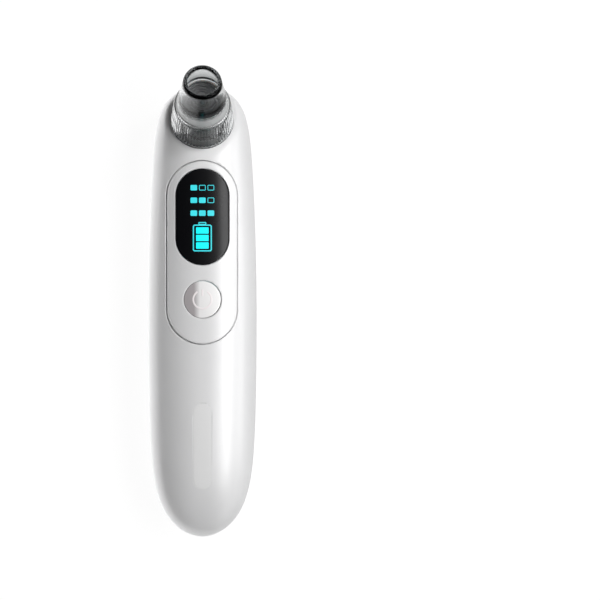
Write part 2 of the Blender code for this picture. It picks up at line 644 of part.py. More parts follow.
def wire(name, points, finish, radius=0.55 * MM):
    curve = bpy.data.curves.new(name, "CURVE")
    curve.dimensions = "3D"
    curve.bevel_depth = radius
    curve.bevel_resolution = 1
    curve.use_fill_caps = True
    route = smooth_route(points, 2)
    spline = curve.splines.new("POLY")
    spline.points.add(len(route) - 1)
    for point, place in zip(spline.points, route):
        point.co = (*place, 1.0)
    curve.materials.append(finish)
    obj = bpy.data.objects.new(name, curve)
    bpy.context.scene.collection.objects.link(obj)


def build_wires():
    wire("battery_lead_red", [
        (0, 71.3, 11.5), (0, 72.4, 11.6), (1.6, 73.0, 13.5), (2.9, 72.9, 16), (3.2, 72.8, 18.4),
        (3.2, 72.8, 19.3)],
        red_wire)
    wire("battery_lead_black", [
        (0, 21.7, 11.5), (0, 20.8, 11.5), (3.5, 20.4, 12.6), (7.2, 22, 15), (9.6, 28, 16.6), (10, 40, 17.2),
        (9.6, 56, 17.4), (8.2, 64, 17.6), (7.5, 68.2, 18.1), (7.4, 69, 18.7), (7.4, 69, 19.3)],
        black_wire)
    wire("charge_lead", [
        (-3, 17, 12.4), (-3, 17.6, 11.6), (-4.4, 19.2, 11.9), (-7.6, 22.6, 15.0), (-9.6, 30, 16.6),
        (-10, 42, 17.2), (-9.4, 56, 17.4), (-8.2, 64, 17.6), (-7.5, 68.2, 18.1), (-7.4, 69, 18.7),
        (-7.4, 69, 19.3)],
        red_wire)
    for side, name, finish in ((-1, "motor_lead_red", red_wire), (1, "motor_lead_black", black_wire)):
        x = side * 7.1
        wire(name, [
            (side * 7, 76.2, 13.3), (side * 7, 75.7, 13.4), (x, 75.1, 14.4), (x, 75, 16.5), (x, 75.1, 18.4),
            (x, 75.1, 19.3)], finish)


def build_air_tube():
    """A hollow silicone tube from the pump's inlet up to the spigot under the suction head."""
    under_head = [head_frame_matrix @ Vector((0, 0, -depth * MM)) for depth in (10.4, 7.8, 5.3)]
    ends = [(0, (place.y + ORIGIN_V) / MM, place.z / MM) for place in under_head]
    drive_z = DRIVE_Z / MM
    start = [(0, 117.4, drive_z), (0, 120, drive_z), (0, 122.8, drive_z), (0, 128.4, 10.4), (0, 134, 10.3)]
    route = smooth_route(start + ends, 3)
    sides = 8
    across = Vector((1, 0, 0))
    rings = {1.55 * MM: [], 2.3 * MM: []}
    for index, place in enumerate(route):
        before, after = route[max(index - 1, 0)], route[min(index + 1, len(route) - 1)]
        up = across.cross((after - before).normalized())
        for radius, made in rings.items():
            made.append([
                place + radius * (math.cos(a) * across + math.sin(a) * up)
                for a in (2 * math.pi * side / sides for side in range(sides))])
    inner, outer = rings.values()
    loft("air_tube", outer + list(reversed(inner)), white_silicone, closed_loop=True)


# ---------------------------------------------------------------- assembly

clear_scene()
white_gloss = material("white_gloss", WHITE, 0.25)
clear_plastic = material("clear_plastic", CLEAR, 0.05)
black_gloss = material("black_gloss", BLACK, 0.05)
pale_badge = material("pale_badge", (0.80, 0.80, 0.80), 0.6)
socket_plastic = material("socket_plastic", SOCKET_GREY, 0.4)
filter_plastic = material("filter_plastic", FILTER_GREY, 0.4)
pearl = material("pearl", (0.84, 0.82, 0.83), 0.2, 0.2)
white_silicone = material("white_silicone", SILICONE, 0.5)
white_plastic = material("white_plastic", WHITE, 0.5)
black_plastic = material("black_plastic", GREY, 0.5)
black_rubber = material("black_rubber", RUBBER, 0.8)
sponge = material("sponge", SPONGE, 0.95)
steel = material("steel", STEEL, 0.35, 1.0)
brass = material("brass", BRASS, 0.4, 1.0)
board_green = material("board_green", BOARD, 0.45)
display_grey = material("display_grey", (0.3, 0.32, 0.34), 0.4)
battery_wrap = material("battery_wrap", BATTERY_WRAP, 0.35)
red_wire = material("red_wire", RED, 0.45)
black_wire = material("black_wire", RUBBER, 0.45)

head_frame = bpy.data.objects.new("head_frame", None)
bpy.context.scene.collection.objects.link(head_frame)
head_frame_matrix = Matrix.Translation((0, place_y(SEAT_V), SEAT_Z)) @ Matrix.Rotation(-HEAD_TILT, 4, "X")
head_frame.matrix_world = head_frame_matrix
boss_limit = body_solid("boss_limit", WALL / 2, 24, 16)

build_front_shell()
build_rear_shell()
build_front_trim()
build_case_screws()
build_suction_head()
build_head_socket()
build_filter()
build_button()
build_switch()
build_main_board()
build_charging_port()
build_motor()
build_pump()
build_battery()
build_wires()
build_air_tube()
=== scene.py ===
"""Looks of the blackhead vacuum extractor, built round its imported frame."""

import json
import math

import bmesh
import bpy
from mathutils import Matrix, Vector


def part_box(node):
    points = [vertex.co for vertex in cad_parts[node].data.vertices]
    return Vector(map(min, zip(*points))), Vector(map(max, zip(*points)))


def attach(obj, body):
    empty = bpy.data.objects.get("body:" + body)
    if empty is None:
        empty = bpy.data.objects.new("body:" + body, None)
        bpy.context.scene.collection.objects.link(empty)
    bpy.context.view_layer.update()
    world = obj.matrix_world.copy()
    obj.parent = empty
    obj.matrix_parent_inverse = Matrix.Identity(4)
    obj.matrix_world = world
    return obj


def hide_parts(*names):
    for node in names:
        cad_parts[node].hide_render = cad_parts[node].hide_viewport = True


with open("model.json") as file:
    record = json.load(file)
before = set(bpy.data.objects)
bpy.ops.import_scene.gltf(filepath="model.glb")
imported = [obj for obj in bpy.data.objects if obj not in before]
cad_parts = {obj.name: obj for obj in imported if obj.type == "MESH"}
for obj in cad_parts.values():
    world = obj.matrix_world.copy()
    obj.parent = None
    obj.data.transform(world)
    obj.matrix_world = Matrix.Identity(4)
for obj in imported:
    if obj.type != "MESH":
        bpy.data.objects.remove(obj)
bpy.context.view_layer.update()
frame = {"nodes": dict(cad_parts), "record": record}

MM = 0.001

# The body's shape, as the frame has it. v runs from the charging end to the head end.
BODY_LENGTH = 157.0 * MM
BODY_HALF_WIDTH = 18.98 * MM
WIDEST_V = 76.0 * MM
SEAM_Z = 15.0 * MM
FRONT_HEIGHT = 14.5 * MM
BACK_HEIGHT = 15.6 * MM
FRONT_ROUNDNESS = 2.4
BACK_ROUNDNESS = 2.6
WALL = 2.2 * MM
SEAM_GAP = 0.15 * MM
FILLET = 1.2 * MM
# How softly the back's curve runs into the flat that it lies on.
BACK_SOFTNESS = 0.25 * MM

# How the body's outlines close: (taper, squareness, bluntness) at the charging end, then at the head end.
WIDTH_ENDS = (0.11, 7.5, 1.8), (0.18, 13.0, 2.2)
FRONT_ENDS = (0.10, 4.5, 2.0), (0.0, 10.0, 2.0)
BACK_ENDS = (0.0, 6.0, 2.0), (0.0, 5.0, 2.0)

# The suction head's axis, tilted about the centre of its seat.
HEAD_TILT = math.radians(25.0)
SEAT_V = 144.6 * MM
SEAT_Z = 24.3 * MM
HEAD_LENGTH = 29.6 * MM
TIP_RADIUS = 6.6 * MM
TIP_BEVEL = 0.4 * MM
SKIRT_RIBS = 60

OVERALL_LENGTH = SEAT_V + (HEAD_LENGTH - TIP_BEVEL) * math.sin(HEAD_TILT) + TIP_RADIUS * math.cos(HEAD_TILT)
ORIGIN_V = OVERALL_LENGTH / 2

PANEL_V, PANEL_WIDTH, PANEL_LENGTH = 99.1 * MM, 24.4 * MM, 63.4 * MM
LENS_V, LENS_WIDTH, LENS_LENGTH = 111.4 * MM, 18.4 * MM, 33.2 * MM
PANEL_RAISE = 0.25 * MM
BADGE_V, BADGE_WIDTH, BADGE_LENGTH = 31.9 * MM, 6.4 * MM, 30.0 * MM
BUTTON_V, BUTTON_RADIUS = 82.8 * MM, 6.4 * MM

# Gaps round the inlaid pieces. The shifts make the panel's wider on the left and the button's on the right.
PANEL_GROOVE, PANEL_GROOVE_SHIFT = 0.24 * MM, -0.19 * MM
BUTTON_GROOVE, BUTTON_GROOVE_SHIFT = 0.12 * MM, 0.08 * MM
LENS_GROOVE = 0.2 * MM
BADGE_GROOVE = 0.015 * MM

# Screw wells in the back, in pairs beside the middle, and the vent slots across it.
WELL_PAIRS = ((8.6 * MM, 17.5 * MM), (11.6 * MM, 129.5 * MM))
VENT_V, VENT_PITCH, VENT_WIDTH, VENT_LENGTH = 138.65 * MM, 2.8 * MM, 1.3 * MM, 9.0 * MM

# A slot's outline: steps round each of its ends, and the distance between points along its straight sides.
SLOT_ARC_STEPS = 41
SLOT_SIDE_STEP = 0.7 * MM

# Faces that meet at less than this angle, in degrees, are shaded as one surface.
SHARP = 35


def place_y(v):
    """Y in the frame of a place v along the body."""
    return v - ORIGIN_V


HEAD_AXIS = Vector((0, math.sin(HEAD_TILT), math.cos(HEAD_TILT)))
SEAT = Vector((0, place_y(SEAT_V), SEAT_Z))
HEAD_MATRIX = Matrix.Translation(SEAT) @ Matrix.Rotation(-HEAD_TILT, 4, "X")


# ---------------------------------------------------------------- mesh helpers

def mesh_piece(name, points, faces, sharp=SHARP):
    """A mesh object whose faces point out, shaded smooth up to an angle."""
    bm = bmesh.new()
    verts = [bm.verts.new(point) for point in points]
    for face in faces:
        bm.faces.new([verts[index] for index in face])
    bmesh.ops.recalc_face_normals(bm, faces=bm.faces)
    mesh = bpy.data.meshes.new(name)
    bm.to_mesh(mesh)
    bm.free()
    mesh.shade_smooth()
    mesh.set_sharp_from_angle(angle=math.radians(sharp))
    obj = bpy.data.objects.new(name, mesh)
    bpy.context.scene.collection.objects.link(obj)
    return obj


def merged(name, parts):
    """One object from several, whose separate meshes it keeps side by side."""
    bm = bmesh.new()
    for part in parts:
        bm.from_mesh(part.data)
        bpy.data.objects.remove(part)
    mesh = bpy.data.meshes.new(name)
    bm.to_mesh(mesh)
    bm.free()
    obj = bpy.data.objects.new(name, mesh)
    bpy.context.scene.collection.objects.link(obj)
    return obj


def bake_modifiers(target):
    """Makes what the modifiers of target give its own mesh."""
    graph = bpy.context.evaluated_depsgraph_get()
    mesh = bpy.data.meshes.new_from_object(target.evaluated_get(graph))
    target.modifiers.clear()
    target.data = mesh
    mesh.name = target.name


def even_normals(target):
    """Lets the large faces set the shading, so that narrow lips don't bend the surface beside them."""
    modifier = target.modifiers.new("normals", "WEIGHTED_NORMAL")
    modifier.keep_sharp = True
    modifier.weight = 50
    bake_modifiers(target)
    return target


def carve(target, tool):
    """Cuts tool out of target for good, and removes it."""
    modifier = target.modifiers.new("carve", "BOOLEAN")
    modifier.operation = "DIFFERENCE"
    modifier.solver = "EXACT"
    modifier.object = tool
    bake_modifiers(target)
    target.data.shade_smooth()
    target.data.set_sharp_from_angle(angle=math.radians(SHARP))
    bpy.data.objects.remove(tool)
    even_normals(target)


def cap_faces(start, size, fold):
    """Faces that close a ring of points: a single face, or strips between the points i and fold - i."""
    if fold is None:
        return [tuple(range(start, start + size))]
    pairs = []
    for step in range(size // 2):
        left = (fold // 2 + 1 + step) % size
        pairs.append((start + left, start + (fold - left) % size))
    return [(after[1], before[1], before[0], after[0]) for before, after in zip(pairs, pairs[1:])]


def loft(name, rings, closed_loop=False, sharp=SHARP, fold=None):
    """A solid through rings of points. It closes on itself, or its two ends are capped."""
    size = len(rings[0])
    points = [point for ring in rings for point in ring]
    faces = []
    last = len(rings) if closed_loop else len(rings) - 1
    for i in range(last):
        low = i * size
        high = (i + 1) % len(rings) * size
        for j in range(size):
            k = (j + 1) % size
            faces.append((low + j, low + k, high + k, high + j))
    if not closed_loop:
        faces += [tuple(reversed(face)) for face in cap_faces(0, size, fold)]
        faces += cap_faces((len(rings) - 1) * size, size, fold)
    return mesh_piece(name, points, faces, sharp)


def eased(profile, radius, steps=4):
    """A turned profile in millimetres with its corners rounded off, apart from ends on the axis."""
    is_ring = profile[0][0] > 0
    count = len(profile)
    result = []
    for index, point in enumerate(profile):
        if not is_ring and index in (0, count - 1):
            result.append(point)
            continue
        here = Vector(point)
        before, after = Vector(profile[index - 1]), Vector(profile[(index + 1) % count])
        reach = min(radius, (before - here).length * 0.45, (after - here).length * 0.45)
        start = here + (before - here).normalized() * reach
        end = here + (after - here).normalized() * reach
        for step in range(steps + 1):
            t = step / steps
            place = start * (1 - t) ** 2 + here * 2 * t * (1 - t) + end * t**2
            result.append(tuple(place))
    return result


def turned(name, profile, matrix, segments=128, shape=None, sharp=SHARP):
    """A solid turned about the local Z axis of matrix, from a profile of (radius, height) in millimetres.
    shape(radius, height, turn) may return a new radius in millimetres."""
    points, rows = [], []
    for radius, height in profile:
        row = []
        for index in range(1 if radius == 0 else segments):
            turn = 2 * math.pi * index / segments
            r = shape(radius, height, turn) if shape and radius > 0 else radius
            row.append(len(points))
            x, y = r * MM * math.cos(turn), r * MM * math.sin(turn)
            points.append(matrix @ Vector((x, y, height * MM)))
        rows.append(row)
    is_ring = profile[0][0] > 0
    pairs = list(zip(rows, rows[1:])) + ([(rows[-1], rows[0])] if is_ring else [])
    faces = []
    for low, high in pairs:
        for index in range(segments):
            after = (index + 1) % segments
            corners = [low[index % len(low)], low[after % len(low)]]
            corners += [high[after % len(high)], high[index % len(high)]]
            face = list(dict.fromkeys(corners))
            if len(face) > 2:
                faces.append(face)
    return mesh_piece(name, points, faces, sharp)


def stadium(width, length, arc_steps):
    """A slot outline, with points along its straight sides so that it can follow a curved surface."""
    radius = max(width / 2, 0.001 * MM)
    straight = length / 2 - radius
    # The odd share keeps rounding errors from giving two outlines of one slot different numbers of points.
    side_steps = max(1, int((length - width) / SLOT_SIDE_STEP + 0.37))
    outline = []
    for side in (1, -1):
        start = 0.0 if side > 0 else math.pi
        for step in range(arc_steps + 1):
            turn = start + math.pi * step / arc_steps
            outline.append((radius * math.cos(turn), side * straight + radius * math.sin(turn)))
        for step in range(1, side_steps):
            outline.append((-side * radius, side * straight * (1 - 2 * step / side_steps)))
    return outline


def round_box(width, height, corner, arc_steps=5, side_steps=6):
    """A rectangle outline with round corners and points along its sides, run anticlockwise."""
    outline = []
    for quarter in range(4):
        turn = quarter * math.pi / 2
        sx = 1 if quarter in (0, 3) else -1
        sy = 1 if quarter in (0, 1) else -1
        centre = (sx * (width / 2 - corner), sy * (height / 2 - corner))
        for step in range(arc_steps + 1):
            angle = turn + math.pi / 2 * step / arc_steps
            outline.append((centre[0] + corner * math.cos(angle), centre[1] + corner * math.sin(angle)))
    spaced = []
    for index, (x, y) in enumerate(outline):
        spaced.append((x, y))
        if index % (arc_steps + 1) == arc_steps:
            nx, ny = outline[(index + 1) % len(outline)]
            for step in range(1, side_steps):
                t = step / side_steps
                spaced.append((x + (nx - x) * t, y + (ny - y) * t))
    return spaced


# ---------------------------------------------------------------- body shape

def end_shape(v, length_low, length_high, low, high):
    """The share of its greatest size that an outline of the body has at v."""
    if v < WIDEST_V:
        share = (WIDEST_V - v) / length_low
        taper, squareness, bluntness = low
    else:
        share = (v - WIDEST_V) / length_high
        taper, squareness, bluntness = high
    share = min(1.0, share)
    return (1 - taper * share**2) * max(0.0, 1 - share**squareness) ** (1 / bluntness)


def body_sizes(v, inset=0.0):
    """Half width at v, and the height of the front and the back from the seam."""
    low = WIDEST_V - inset
    high = BODY_LENGTH - inset - WIDEST_V
    width = (BODY_HALF_WIDTH - inset) * end_shape(v, low, high, *WIDTH_ENDS)
    front = (FRONT_HEIGHT - inset) * end_shape(v, low, high, *FRONT_ENDS)
    back = (BACK_HEIGHT - inset) * end_shape(v, low, high, *BACK_ENDS)
    return width, front, back


def onto_seat(point, depth=0.0, fillet=FILLET):
    """Moves a point that lies above the head's seat down onto it, with a fillet round the seat's edge."""
    above = (point - SEAT).dot(HEAD_AXIS) + depth
    if above <= -fillet:
        return point
    drop = above if above > fillet else (above + fillet) ** 2 / (4 * fillet)
    return point - HEAD_AXIS * drop


def front_point(x, v, level=0.0):
    """A point on the front surface over x and v, or level below it."""
    width, front, _ = body_sizes(v)
    share = min(1.0, abs(x) / width)
    z = SEAM_Z + front * (1 - share**FRONT_ROUNDNESS) ** (1 / FRONT_ROUNDNESS)
    return onto_seat(Vector((x, place_y(v), z))) - Vector((0, 0, level))


def half_point(v, turn, side, inset):
    """A point on one half of the body. turn runs from one seam edge, 0, over its middle to the other, pi."""
    width, front, back = body_sizes(v, inset)
    height, roundness = (front, FRONT_ROUNDNESS) if side > 0 else (back, BACK_ROUNDNESS)
    across = abs(math.cos(turn)) ** (2 / roundness)
    up = max(0.0, math.sin(turn)) ** (2 / roundness)
    x = math.copysign(width * across, math.cos(turn))
    z = SEAM_Z + side * (SEAM_GAP + max(0.0, height - SEAM_GAP) * up)
    if side < 0:
        over = z - inset
        z = inset + (over + math.hypot(over, BACK_SOFTNESS)) / 2
    point = Vector((x, place_y(v), z))
    if side > 0:
        point = onto_seat(point, inset, FILLET if inset == 0 else FILLET / 2)
    return point


def half_shell(name, side):
    """One casing shell as a closed solid: outer skin, inner skin and the rim along the seam."""
    stations, around = 170, 84
    points, skins, poles = [], [], []
    for inset in (0.0, WALL):
        rows = []
        for station in range(1, stations):
            share = (1 - math.cos(math.pi * station / stations)) / 2
            v = inset + (BODY_LENGTH - 2 * inset) * share
            row = []
            for step in range(around + 1):
                # Points are spread so that they crowd a little towards both seam edges.
                turn = math.pi * step / around
                turn -= 0.12 * math.sin(2 * turn)
                row.append(len(points))
                points.append(half_point(v, turn, side, inset))
            rows.append(row)
        ends = []
        for v in (inset, BODY_LENGTH - inset):
            ends.append(len(points))
            points.append(Vector((0, place_y(v), SEAM_Z + side * SEAM_GAP)))
        skins.append(rows)
        poles.append(ends)
    faces = []
    for rows, ends in zip(skins, poles):
        for low, high in zip(rows, rows[1:]):
            for j in range(around):
                faces.append((low[j], low[j + 1], high[j + 1], high[j]))
        for row, pole in ((rows[0], ends[0]), (rows[-1], ends[1])):
            for j in range(around):
                faces.append((pole, row[j], row[j + 1]))
    outer, inner = skins
    for edge in (0, around):
        outer_line = [poles[0][0]] + [row[edge] for row in outer] + [poles[0][1]]
        inner_line = [poles[1][0]] + [row[edge] for row in inner] + [poles[1][1]]
        for a, b, c, d in zip(outer_line, outer_line[1:], inner_line[1:], inner_line):
            faces.append((a, b, c, d))
    return mesh_piece(name, points, faces)


def follow_loft(name, outline, v, levels, half_width, fill=12, sharp=SHARP, fold=SLOT_ARC_STEPS):
    """A solid whose rings follow the front surface. outline(grow) gives an outline, and levels holds pairs
    of (grow, depth) from the bottom up. Both ends are closed by rings that shrink towards the middle."""
    reach, crowding = 0.97, 1.3

    def ring(grow, depth):
        return [front_point(x, v + y, depth) for x, y in outline(grow)]

    (low_grow, low_depth), (high_grow, high_depth) = levels[0], levels[-1]
    shrink = [half_width * reach * (1 - (1 - (step + 1) / fill) ** crowding) for step in range(fill)]
    rings = [ring(low_grow - by, low_depth) for by in reversed(shrink)]
    rings += [ring(grow, depth) for grow, depth in levels]
    rings += [ring(high_grow - by, high_depth) for by in shrink]
    return even_normals(loft(name, rings, sharp=sharp, fold=fold))


def slot_outline(width, length, shift=0.0):
    """An outline for follow_loft: a slot that is grown all round."""
    return lambda grow: [
        (shift + x, y) for x, y in stadium(width + 2 * grow, length + 2 * grow, SLOT_ARC_STEPS)]


def lip(top, depth, round_by, level=0.0):
    """Levels of a cutter, from its bottom up, that leaves a rounded lip in a surface at a level."""
    return [
        (0, depth), (0, level + round_by), (0.3 * round_by, level + 0.3 * round_by), (round_by, level),
        (2 * round_by, level - 0.2 * MM), (2 * round_by, level - top)]


def plate(thickness, round_by, top=0.0):
    """Levels of a plate with a rounded top edge, from its bottom up. A top below 0 is proud."""
    chamfer = 0.1 * MM
    return [
        (-chamfer, thickness), (0, thickness - chamfer), (0, top + round_by),
        (-0.12 * round_by, top + 0.55 * round_by), (-0.4 * round_by, top + 0.2 * round_by),
        (-0.7 * round_by, top + 0.05 * round_by), (-round_by, top)]


# ---------------------------------------------------------------- materials

def shader_of(name, **sockets):
    """A new material and its Principled shader, with uniform values set on the shader's own sockets."""
    material = bpy.data.materials.new(name)
    material.use_nodes = True
    tree = material.node_tree
    shader = tree.nodes["Principled BSDF"]
    for socket, value in sockets.items():
        shader.inputs[socket.replace("_", " ")].default_value = value
    return material, tree, shader


def coordinates(tree, scale=(1, 1, 1)):
    """Object coordinates, which are metres in the frame, stretched by a scale."""
    source = tree.nodes.new("ShaderNodeTexCoord")
    mapping = tree.nodes.new("ShaderNodeMapping")
    mapping.inputs["Scale"].default_value = scale
    tree.links.new(source.outputs["Object"], mapping.inputs["Vector"])
    return mapping.outputs["Vector"]


def noise_of(tree, vector, scale, detail, roughness=0.55):
    """Fractal noise, between 0 and 1."""
    node = tree.nodes.new("ShaderNodeTexNoise")
    node.inputs["Scale"].default_value = scale
    node.inputs["Detail"].default_value = detail
    node.inputs["Roughness"].default_value = roughness
    tree.links.new(vector, node.inputs["Vector"])
    return node.outputs["Fac"]


def ramp_of(tree, value, stops):
    """A colour for each value, from (value, colour) stops."""
    node = tree.nodes.new("ShaderNodeValToRGB")
    ramp = node.color_ramp
    while len(ramp.elements) < len(stops):
        ramp.elements.new(0.5)
    for element, (place, colour) in zip(ramp.elements, stops):
        element.position = place
        element.color = (*colour, 1.0)
    tree.links.new(value, node.inputs["Fac"])
    return node.outputs["Color"]


def range_of(tree, value, low, high, source=(0.0, 1.0)):
    """A value between low and high, as the given one runs through its source range."""
    node = tree.nodes.new("ShaderNodeMapRange")
    node.inputs["From Min"].default_value, node.inputs["From Max"].default_value = source
    node.inputs["To Min"].default_value = low
    node.inputs["To Max"].default_value = high
    tree.links.new(value, node.inputs["Value"])
    return node.outputs["Result"]


def bump_of(tree, height, strength, distance):
    """A normal that is disturbed by a height."""
    node = tree.nodes.new("ShaderNodeBump")
    node.inputs["Strength"].default_value = strength
    node.inputs["Distance"].default_value = distance
    tree.links.new(height, node.inputs["Height"])
    return node.outputs["Normal"]


def x_of(tree, vector):
    """The X coordinate of a vector."""
    node = tree.nodes.new("ShaderNodeSeparateXYZ")
    tree.links.new(vector, node.inputs["Vector"])
    return node.outputs["X"]


def mix_of(tree, factor, first, second, blend="MIX"):
    """Two colours mixed. The factor and the second colour are values or links."""
    node = tree.nodes.new("ShaderNodeMix")
    node.data_type, node.blend_type = "RGBA", blend
    sockets = {"Factor_Float": factor, "A_Color": first, "B_Color": second}
    for socket in node.inputs:
        value = sockets.get(socket.identifier)
        if isinstance(value, bpy.types.NodeSocket):
            tree.links.new(value, socket)
        elif value is not None:
            socket.default_value = value
    return next(socket for socket in node.outputs if socket.identifier == "Result_Color")


def moulded(name, colour, roughness, spread, grain, bump, tone, **sockets):
    """Moulded plastic or rubber: a drift of tone, gloss that is uneven by spread, and a fine grain."""
    material, tree, shader = shader_of(name, **sockets)
    vector = coordinates(tree)
    drift = noise_of(tree, vector, 60.0, 3.0)
    darker = tuple(c * (1 - tone) for c in colour)
    lighter = tuple(min(1.0, c * (1 + tone)) for c in colour)
    base = ramp_of(tree, drift, [(0.35, darker), (0.65, lighter)])
    tree.links.new(base, shader.inputs["Base Color"])
    gloss = range_of(tree, noise_of(tree, vector, 220.0, 5.0), roughness - spread, roughness + spread)
    tree.links.new(gloss, shader.inputs["Roughness"])
    fine = noise_of(tree, vector, grain, 2.0)
    tree.links.new(bump_of(tree, fine, bump, 0.0001), shader.inputs["Normal"])
    return material


def metal(name, colour, roughness):
    """Drawn or turned metal, with fine streaks across it."""
    material, tree, shader = shader_of(name, Metallic=1.0)
    streaks = noise_of(tree, coordinates(tree, (1, 30, 1)), 120.0, 6.0, 0.7)
    darker = tuple(c * 0.82 for c in colour)
    tree.links.new(ramp_of(tree, streaks, [(0.3, darker), (0.7, colour)]), shader.inputs["Base Color"])
    tree.links.new(range_of(tree, streaks, roughness - 0.08, roughness + 0.1), shader.inputs["Roughness"])
    tree.links.new(bump_of(tree, streaks, 0.15, 0.00005), shader.inputs["Normal"])
    return material


def clear_plastic(name):
    """Clear moulded plastic with a frosted shoulder, and painted shade: a dark rim at the mouth, a dark ring
    round the seal and a darkened cone. The ramps run along the head's axis, from 0 at its seat to 1 at 30
    mm."""
    material, tree, shader = shader_of(name, IOR=1.4)
    shader.inputs["Specular Tint"].default_value = (0.15, 0.15, 0.15, 1)
    vector = coordinates(tree)
    from_seat = tree.nodes.new("ShaderNodeVectorMath")
    from_seat.operation = "SUBTRACT"
    from_seat.inputs[1].default_value = SEAT
    tree.links.new(vector, from_seat.inputs[0])
    along = tree.nodes.new("ShaderNodeVectorMath")
    along.operation = "DOT_PRODUCT"
    along.inputs[1].default_value = HEAD_AXIS
    tree.links.new(from_seat.outputs["Vector"], along.inputs[0])
    share = range_of(tree, along.outputs["Value"], 0.0, 1.0, (0.0, 30 * MM))
    none, full, frosted = (0.0, 0.0, 0.0), (1.0, 1.0, 1.0), (0.55, 0.55, 0.55)
    # Painted shade: a dark ring round the seal and a dark rim at the mouth, where the clear walls look dark.
    shade_ring_stops = [(0.597, none), (0.603, full), (0.65, full), (0.656, none)]
    shaded_rim_stops = [(0.943, none), (0.973, full)]
    dark = ramp_of(tree, share, shade_ring_stops + shaded_rim_stops)
    frost_stops = [(0.43, full), (0.46, frosted), (0.54, frosted), (0.58, full)]
    # The painted shade ring is opaque, so that its dark colour shows.
    opaque_shade_ring_stops = [(0.603, full), (0.608, none), (0.645, none), (0.65, full)]
    clearness = ramp_of(tree, share, frost_stops + opaque_shade_ring_stops)
    tree.links.new(clearness, shader.inputs["Transmission Weight"])
    haze = noise_of(tree, vector, 150.0, 3.0)
    clear = ramp_of(tree, haze, [(0.3, (0.86, 0.88, 0.885)), (0.7, (0.92, 0.93, 0.93))])
    # Painted shade: the cone is darkened just above the ring, and clears towards the mouth.
    deep_cone_shade, faint_cone_shade = (0.42, 0.43, 0.43), (0.85, 0.85, 0.85)
    cone_shade = ramp_of(tree, share, [(0.6, full), (0.65, deep_cone_shade), (0.86, faint_cone_shade), (0.94, full)])
    clear_and_cone_shade = mix_of(tree, 1.0, clear, cone_shade, "MULTIPLY")
    with_painted_shade = mix_of(tree, dark, clear_and_cone_shade, (0.04, 0.041, 0.043, 1))
    tree.links.new(with_painted_shade, shader.inputs["Base Color"])
    tree.links.new(range_of(tree, haze, 0.0, 0.035), shader.inputs["Roughness"])
    flow = noise_of(tree, coordinates(tree, (1, 1, 0.3)), 260.0, 2.0)
    tree.links.new(bump_of(tree, flow, 0.12, 0.0001), shader.inputs["Normal"])
    return material


def smoked_lens(name):
    """Black acrylic, a little lighter towards one side: a painted reflection of the lamps on that side."""
    material, tree, shader = shader_of(name, Specular_IOR_Level=0.2, Coat_Weight=0.06, Coat_Roughness=0.12)
    gradient = tree.nodes.new("ShaderNodeTexGradient")
    tree.links.new(coordinates(tree, (55, 9, 0)), gradient.inputs["Vector"])
    # The lighter end of the gradient is a painted reflection.
    deep, painted_reflection = (0.004, 0.004, 0.005), (0.05, 0.05, 0.052)
    black_with_painted_reflection = ramp_of(tree, gradient.outputs["Fac"], [(0.25, deep), (0.9, painted_reflection)])
    tree.links.new(black_with_painted_reflection, shader.inputs["Base Color"])
    smear = noise_of(tree, coordinates(tree), 90.0, 3.0)
    tree.links.new(range_of(tree, smear, 0.22, 0.34), shader.inputs["Roughness"])
    return material


def glowing(name, colour, strength):
    """A lit display segment, its light a little uneven from the lamp behind it."""
    material, tree, shader = shader_of(name, Emission_Strength=strength, Roughness=0.4)
    shader.inputs["Base Color"].default_value = (0.0, 0.25, 0.26, 1.0)
    lamp = noise_of(tree, coordinates(tree), 500.0, 2.0)
    dimmer = tuple(c * 0.88 for c in colour)
    tree.links.new(ramp_of(tree, lamp, [(0.35, dimmer), (0.65, colour)]), shader.inputs["Emission Color"])
    return material


def pearl_plastic(name):
    """Pearl plating under a bright sheen, painted rosy grey on one side of the dome and white on the other:
    a painted shade and reflection.
    """
    material, tree, shader = shader_of(name, Coat_Weight=1.0, Coat_Roughness=0.3, Specular_IOR_Level=1.0)
    vector = coordinates(tree)
    # Painted shade and reflection across the dome: rosy grey on its left, white towards its right, where the
    # lamps would be reflected.
    across = range_of(tree, x_of(tree, vector), 0.0, 1.0, (-6 * MM, 6 * MM))
    shaded_rosy, pale, reflected_white = (0.45, 0.42, 0.43), (0.97, 0.96, 0.96), (0.99, 0.985, 0.98)
    pearl_and_painted_reflection = ramp_of(tree, across, [(0.26, shaded_rosy), (0.43, pale), (0.9, reflected_white)])
    tree.links.new(pearl_and_painted_reflection, shader.inputs["Base Color"])
    flake = noise_of(tree, vector, 2600.0, 2.0)
    tree.links.new(range_of(tree, flake, 0.2, 0.28), shader.inputs["Roughness"])
    return material


def foam(name):
    """Open foam, pale on its cell walls, with painted shade in its cells."""
    material, tree, shader = shader_of(name, Roughness=0.95)
    cells = tree.nodes.new("ShaderNodeTexVoronoi")
    cells.inputs["Scale"].default_value = 1800.0
    tree.links.new(coordinates(tree), cells.inputs["Vector"])
    # Painted shade: darker towards the middle of each cell.
    tone = ramp_of(tree, cells.outputs["Distance"], [(0.1, (0.42, 0.41, 0.38)), (0.6, (0.78, 0.77, 0.72))])
    tree.links.new(tone, shader.inputs["Base Color"])
    tree.links.new(bump_of(tree, cells.outputs["Distance"], 0.8, 0.0003), shader.inputs["Normal"])
    return material


